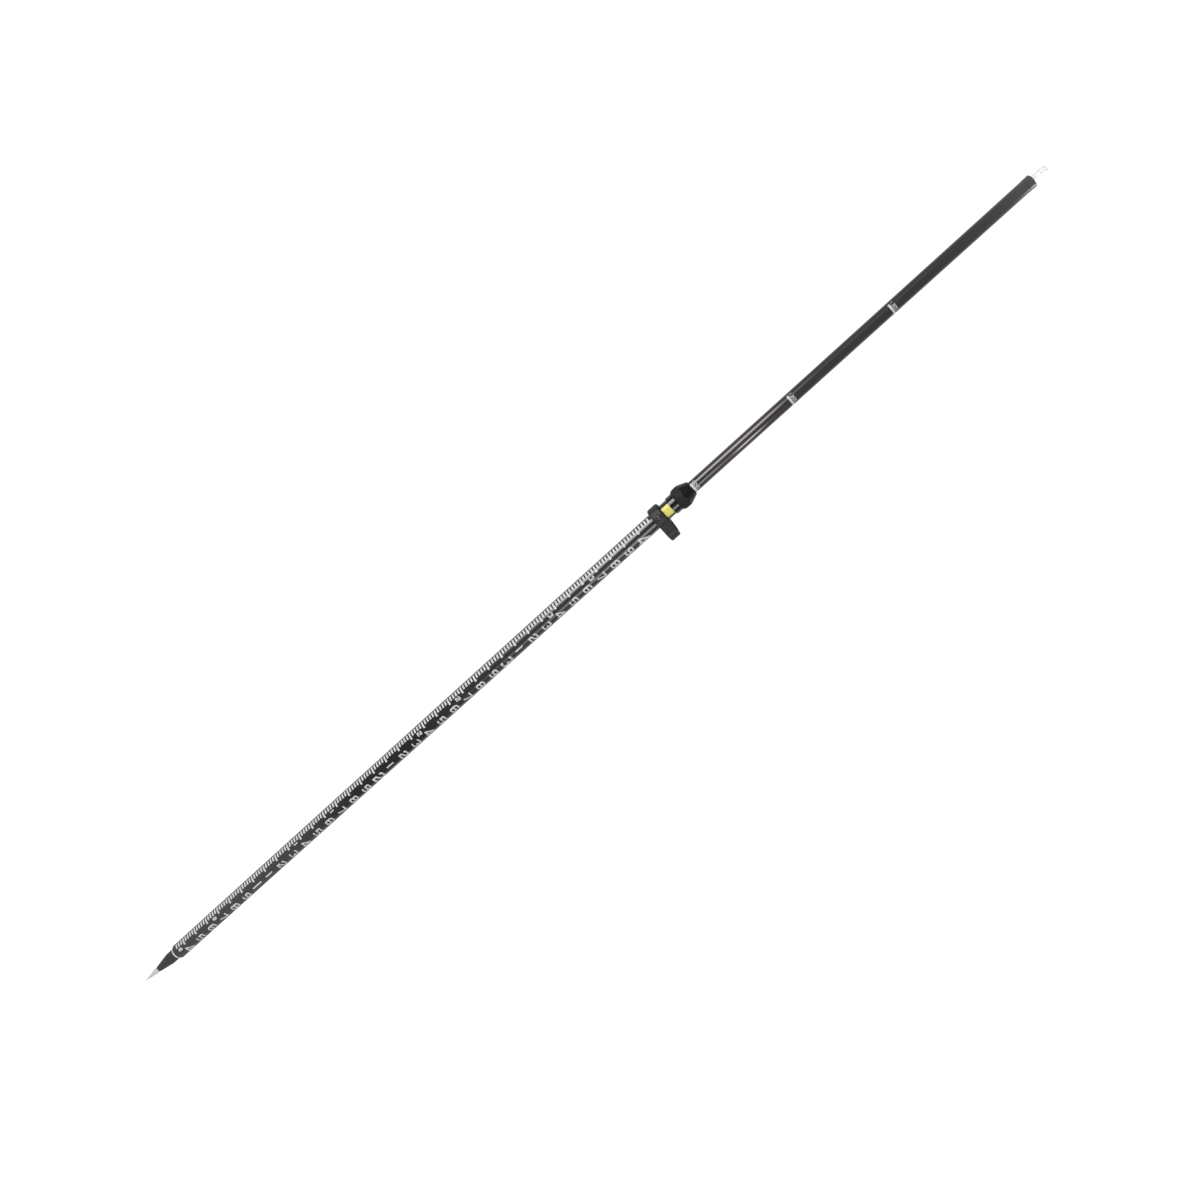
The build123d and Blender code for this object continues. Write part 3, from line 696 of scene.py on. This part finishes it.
grip_rubber = moulding(
    "grip_rubber", 0.06, shine=0.34, Grain=1500.0, Dark=grey(0.006), Light=grey(0.01), Smooth=0.5,
    Rough=0.64)
sleeve_bore, sleeve_foot, sleeve_middle = skirt_radius + play, 16.95, 18.475
flare_middle, flare_high, straight_middle = grip_low + 3.3, grip_low + 6.6, grip_low + 10.7
flare = arc_through((sleeve_foot, grip_low), (sleeve_middle, flare_middle), (grip_radius, flare_high), 18)
grip_outline = rounded(
    (sleeve_bore, grip_low, 0.2), (sleeve_foot, grip_low, 0.25), *((r, z, 0) for r, z in flare[1:-1]),
    (grip_radius, flare_high, 1.0), (grip_radius, straight_middle, 0), (grip_radius, grip_high, 0.3),
    (sleeve_bore, grip_high, 0.2))
flutes, flute_radius, flute_depth, flute_ease = 28, 1.1, 0.5, 0.15
grip_turns = flutes * 18
angle = np.arange(grip_turns) * 2 * np.pi / grip_turns
from_flute = (angle + np.pi / flutes) % (2 * np.pi / flutes) - np.pi / flutes
flute_centre = grip_radius + flute_radius - flute_depth
under_root = flute_radius**2 - (flute_centre * np.sin(from_flute)) ** 2
flute_floor = flute_centre * np.cos(from_flute) - np.sqrt(np.clip(under_root, 0, None))
groove = np.where(under_root > 0, flute_floor, np.inf)
grip = fluted("nut_sleeve", grip_outline, angle, groove, flute_ease, "twist_nut", grip_rubber)
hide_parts("nut_grip")

wiper_rubber = moulding("wiper_rubber", 0.02, Dark=grey(0.012), Light=grey(0.02), Smooth=0.5, Rough=0.65)
wiper_bore, wiper_radius, lip_radius = 10.35, 11.95, 10.95
wiper = turned(
    "wiper_lip",
    rounded((wiper_bore, wiper_low, 0.2), (wiper_radius, wiper_low, 0.2), (wiper_radius, lip_seat, 0.1),
            (lip_radius, lip_seat, 0.1), (lip_radius, wiper_high, 0.2), (wiper_bore, wiper_high, 0.2)),
    "twist_nut", wiper_rubber)
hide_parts("wiper_ring")

# Foot of the upper tube: a plastic plug bonded into it, and the split ring that guides it in the lower tube.
# Neither shows while the pole is together.

dress("foot_plug", moulding("foot_plastic", 0.02, Dark=grey(0.03), Light=grey(0.045), Smooth=0.4, Rough=0.55))
dress("guide_ring", moulding("ring_plastic", 0.02, Dark=grey(0.6), Light=grey(0.7), Smooth=0.35, Rough=0.5))

# Upper tube: the inner stage, in the same gloss black, with three printed height bands. Each is a white line
# with its height in metres over it, read at the nut's mouth.

upper_low, upper_high = heights("upper_tube")
upper_radius, upper_bore = 10.25, 8.75
inner_stage = turned(
    "inner_stage",
    rounded((upper_radius, upper_low, 0.2), (upper_radius, upper_high, 0.2), (upper_bore, upper_high, 0.2),
            (upper_bore, upper_low, 0.2)),
    "upper_pole", gloss_black, turns=160)
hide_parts("upper_tube")

band_start, band_end, band_height, band_ink = -38.0, 150.0, 3.6, 0.02
band_z = wiper_high + 0.9 + np.array([0.0, 200.0, 400.0])
x, z = bars(band_start, band_end, band_z, band_z + band_height, upper_radius, 61)
band_lines = printed("band_lines", x, z, band_ink, upper_radius, "upper_pole", white_ink)

over_band, reading_size, thinner_ink = 7.4, (5.2, 3.3), 0.012
places = []
for low, reading in zip(band_z, ("2.000", "1.800", "1.600")):
    for x, figure in zip((-5.6, -2.6, -0.2, 3.7, 7.6), reading):
        places.append((figure, x, low + over_band, *reading_size, STROKE))
x, z, lift = figures(places)
band_figures = printed("band_figures", x, z, lift - thinner_ink, upper_radius, "upper_pole", white_ink)

# Top insert: an alloy plug in the same gloss black, bonded into the upper tube. The antenna seats on its
# flange, and a threaded hole takes the spigot.

insert_low, seat_high = heights("top_insert")
pin_low, pin_high = heights("antenna_spigot")
insert_radius, flange_radius, pin_thread = 8.7, 10.55, 4.0
pin_hole, hole_floor = pin_thread + play, pin_low - free_end
flange = turned(
    "top_flange",
    rounded((0, insert_low, 0), (insert_radius, insert_low, 0.5), (insert_radius, upper_high, 0.1),
            (flange_radius, upper_high, 0.15), (flange_radius, seat_high, 1.2), (pin_hole, seat_high, 0.3),
            (pin_hole, hole_floor, 0.2), (0, hole_floor, 0)),
    "upper_pole", gloss_black)
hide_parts("top_insert")

# Antenna spigot: a turned and polished stainless pin, screwed into the flange. The latch of an antenna's
# adapter drops into its groove.

polished_steel, tree, shader = new_finish("polished_steel")
marks = group_in(tree, lathe_marks, Rings_per_metre=6000.0, Smooth=0.06, Rough=0.13)
rubbed = spread(tree, noise(tree, 500.0, 4.0), 0.45, 0.75)
fill(tree, shader, Metallic=1.0, Roughness=marks["Roughness"],
     Base_Color=blended(tree, rubbed, (0.95, 0.945, 0.93, 1), (0.88, 0.875, 0.86, 1)),
     Normal=bumped(tree, marks["Height"], 0.2, 0.01))

pin_radius, groove_radius, pin_end = 6.0, 5.0, 4.8
groove_low, groove_high, bevel_low = seat_high + 11.0, seat_high + 14.0, pin_high - 1.2
spigot = turned(
    "antenna_pin",
    rounded((0, pin_low, 0), (pin_thread, pin_low, 0.4), (pin_thread, seat_high, 0.1),
            (pin_radius, seat_high, 0.1), (pin_radius, groove_low, 0.2), (groove_radius, groove_low, 0.2),
            (groove_radius, groove_high, 0.2), (pin_radius, groove_high, 0.2), (pin_radius, bevel_low, 0.3),
            (pin_end, pin_high, 0.3), (0, pin_high, 0)),
    "upper_pole", polished_steel)
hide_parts("antenna_spigot")

# Studio: a pale floor that fades into a white room, upright lamps to both sides of the pole, and the camera,
# rolled as in the photograph, so that the pole runs from corner to corner.

floor_paint, tree, shader = new_finish("floor_paint")
away = put(tree, "ShaderNodeVectorMath", {"operation": "LENGTH"}, Vector=own_space(tree)).outputs["Value"]
seen = tree.nodes.new("ShaderNodeLightPath").outputs["Is Camera Ray"]
fill(tree, shader, Base_Color=grey(0.7), Roughness=0.9, Specular_IOR_Level=0.0,
     Alpha=spread(tree, away, 0.35, 0.95, 1.0, 0.0), Emission_Strength=1.0,
     Emission_Color=blended(tree, seen, (0.23, 0.225, 0.25, 1), grey(1.0)))

# The floor is a disc, (r cos a, r sin a, floor_z), with one face over the hole in its middle.
floor_hole, floor_radius, floor_z = 20.0, 1000.0, -0.5
floor_rings, floor_turns = 40, 96
radius = np.linspace(floor_hole, floor_radius, floor_rings)[:, None]
angle = np.arange(floor_turns) * 2 * np.pi / floor_turns
flat = np.full((floor_rings, floor_turns), floor_z)
disc = np.stack([radius * np.cos(angle), radius * np.sin(angle), flat], axis=-1) * MILLIMETRE
ring_faces = sheet_faces(floor_rings, floor_turns, False, True)[:, ::-1].tolist()
mesh = bpy.data.meshes.new("studio_floor")
mesh.from_pydata(disc.reshape(-1, 3).tolist(), [], ring_faces + [list(range(floor_turns))])
mesh.materials.append(floor_paint)
studio_floor = bpy.data.objects.new("studio_floor", mesh)
scene.collection.objects.link(studio_floor)
studio_floor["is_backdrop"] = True

# The room's brightness and tint go by the sine of the elevation, since the tubes mirror it height by height.
# The wall behind the pole is even, and the camera itself sees plain white.
room = bpy.data.worlds.new("white_room")
room.use_nodes = True
scene.world = room
tree = room.node_tree
aim = tree.nodes.new("ShaderNodeTexCoord").outputs["Generated"]
towards = put(tree, "ShaderNodeSeparateXYZ", Vector=aim).outputs
rise = put(tree, "ShaderNodeValToRGB", Fac=spread(tree, towards["Z"], -1.0, 1.0))
stops = rise.color_ramp.elements
stops.remove(stops[1])
stops[0].color = grey(0.5)
cool, warm, plain = np.array([[1.0, 0.995, 1.05, 1.0], [1.0, 0.86, 0.9, 1.0], [1.0, 1.0, 1.0, 1.0]])
for sine, brightness, tint in (
    (-0.5, 0.5, cool), (-0.46, 0.2, cool), (-0.4, 0.13, cool), (-0.34, 0.28, cool), (-0.17, 0.38, cool),
    (-0.135, 0.5, cool), (-0.105, 0.16, cool), (-0.06, 0.16, cool), (-0.04, 0.55, warm), (0.0, 0.66, warm),
    (0.03, 0.4, warm), (0.06, 0.4, warm), (0.08, 0.39, cool), (0.2, 0.36, cool), (0.265, 0.52, cool),
    (0.28, 0.64, plain), (0.3, 1.0, plain), (0.33, 1.3, plain), (0.36, 0.3, cool), (0.45, 0.12, cool),
    (0.88, 0.12, cool), (0.94, 0.9, cool), (1.0, 0.9, cool),
):
    stop = stops.new((sine + 1) / 2)
    stop.color = np.array(grey(brightness)) * tint
behind = product(tree, spread(tree, towards["Y"], -0.1, 0.45), spread(tree, towards["Z"], 0.65, 0.3))
mirrored = blended(tree, behind, rise.outputs["Color"], grey(0.8))
seen = tree.nodes.new("ShaderNodeLightPath").outputs["Is Camera Ray"]
feed(tree, tree.nodes["Background"].inputs["Color"], blended(tree, seen, mirrored, grey(1.06)))

# A lamp's brightness falls off to both sides as 4u(1 - u), and towards its lower and upper ends over the two
# fades. Its light is warmest from 1.4 to 1.9 m above the ground. Lengths are in metres.
lamp_distance = 1.9
white_light, warm_light = (1.0, 0.985, 0.995, 1), (1.0, 0.905, 0.925, 1)
for name, side_angle, low, high, wide, low_fade, high_fade, brightness in (
    ("softbox_left", -41.0, 0.2, 1.685, 1.66, 0.65, 0.15, 5.9),
    ("softbox_right", 44.0, 0.1, 1.38, 1.46, 0.85, 0.08, 2.9),
    ("spot_right", 49.0, 1.39, 1.515, 1.2, 0.02, 0.02, 8.3),
    ("softbox_high", 94.0, 2.58, 2.68, 1.5, 0.02, 0.02, 6.5),
    ("fill_middle", -41.0, 1.62, 1.755, 1.66, 0.02, 0.03, 1.1),
    ("fill_left", -41.0, 1.7, 2.3, 1.6, 0.1, 0.1, 0.35),
):
    tall = high - low
    lamp = bpy.data.lights.new(name, "AREA")
    lamp.shape = "RECTANGLE"
    lamp.size = wide
    lamp.size_y = tall
    lamp.energy = brightness * math.pi * wide * tall
    lamp.use_nodes = True
    tree = lamp.node_tree
    face = tree.nodes.new("ShaderNodeNewGeometry").outputs["Parametric"]
    u, v = put(tree, "ShaderNodeSeparateXYZ", Vector=face).outputs[:2]
    sides = product(tree, spread(tree, u, 0.0, 1.0, 0.0, 4.0), spread(tree, u, 0.0, 1.0, 1.0, 0.0))
    ends = product(tree, spread(tree, v, 0.0, low_fade / tall), spread(tree, v, 1.0, 1.0 - high_fade / tall))
    height = spread(tree, v, 0.0, 1.0, low, high)
    warmth = product(tree, spread(tree, height, 1.2, 1.4), spread(tree, height, 2.1, 1.9))
    fill(tree, tree.nodes["Emission"].inputs, Strength=product(tree, sides, ends),
         Color=blended(tree, warmth, white_light, warm_light))
    stand = bpy.data.objects.new(name, lamp)
    turn = math.radians(side_angle)
    stand.location = (lamp_distance * math.sin(turn), -lamp_distance * math.cos(turn), (low + high) / 2)
    stand.rotation_euler = (math.radians(90), 0, turn)
    stand.visible_camera = False
    scene.collection.objects.link(stand)

yaw, pitch, roll = (math.radians(a) for a in (1.153, 10.947, -48.142))
eye = (0.0, -1.7582, 1.438)
ahead = np.array([math.sin(yaw) * math.cos(pitch), math.cos(yaw) * math.cos(pitch), -math.sin(pitch)])
sideways = np.array([math.cos(yaw), -math.sin(yaw), 0.0])
down = np.cross(ahead, sideways)
picture_right = math.cos(roll) * sideways + math.sin(roll) * down
picture_down = -math.sin(roll) * sideways + math.cos(roll) * down
stance = np.eye(4)
stance[:3, :3] = np.stack([picture_right, -picture_down, -ahead], axis=1)
stance[:3, 3] = eye
lens = bpy.data.cameras.new("photo_camera")
lens.lens = 33.0
lens.sensor_width = 36.0
lens.clip_end = 50.0
camera = bpy.data.objects.new("photo_camera", lens)
camera.matrix_world = mathutils.Matrix(stance.tolist())
scene.collection.objects.link(camera)
scene.camera = camera
scene.view_settings.view_transform = "Standard"

low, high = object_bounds()
